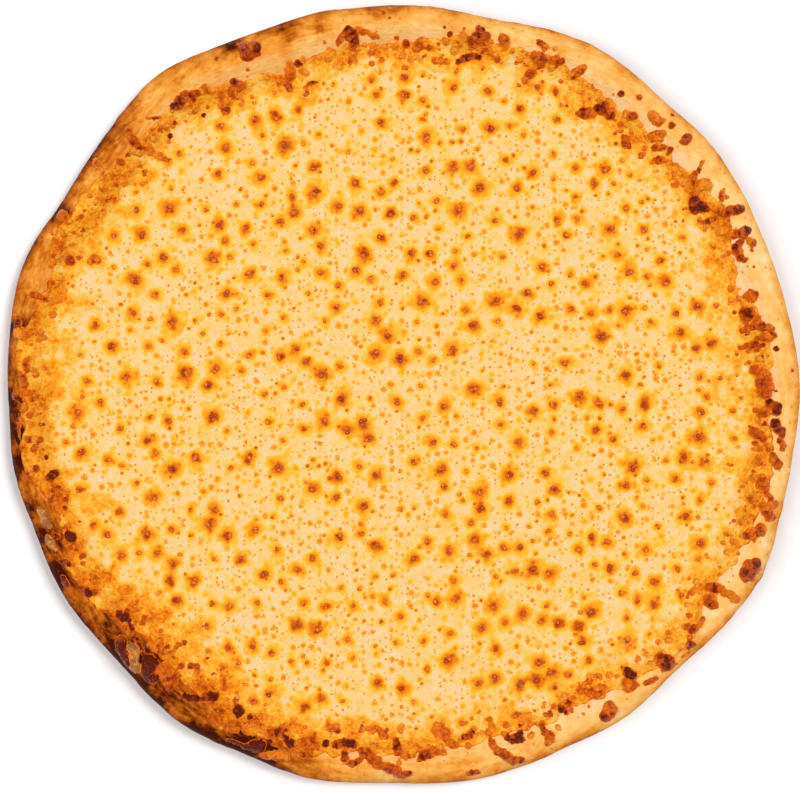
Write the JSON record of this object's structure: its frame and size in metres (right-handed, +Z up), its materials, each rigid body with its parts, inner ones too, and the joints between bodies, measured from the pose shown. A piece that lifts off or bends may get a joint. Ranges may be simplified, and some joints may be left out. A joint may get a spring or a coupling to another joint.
{
  "type": "cheese pizza",
  "caption": "Whole round baked cheese pizza: an uneven raised crust around one blistered layer of melted cheese, with browned crags of cheese along the rim.",
  "frame": {"origin": "middle of the pizza's box, on the flat underside of the crust", "axes": "+Z up through the pizza, +Y towards the top of the picture and +X towards its right"},
  "size_m": [0.3062, 0.301, 0.0181],
  "materials": {
    "crust": "baked dough: tan to brown, dry and slightly rough",
    "cheese": "melted cheese: cream to orange with brown blisters, a soft oily sheen",
    "browned_cheese": "dark browned cheese: red-brown, lumpy and glossy"
  },
  "bodies": {
    "root": {"crust": "crust", "cheese": "cheese", "browned_drop_top": "browned_cheese", "browned_drop_right": "browned_cheese", "browned_drop_bottom": "browned_cheese"}
  },
  "joints": []
}
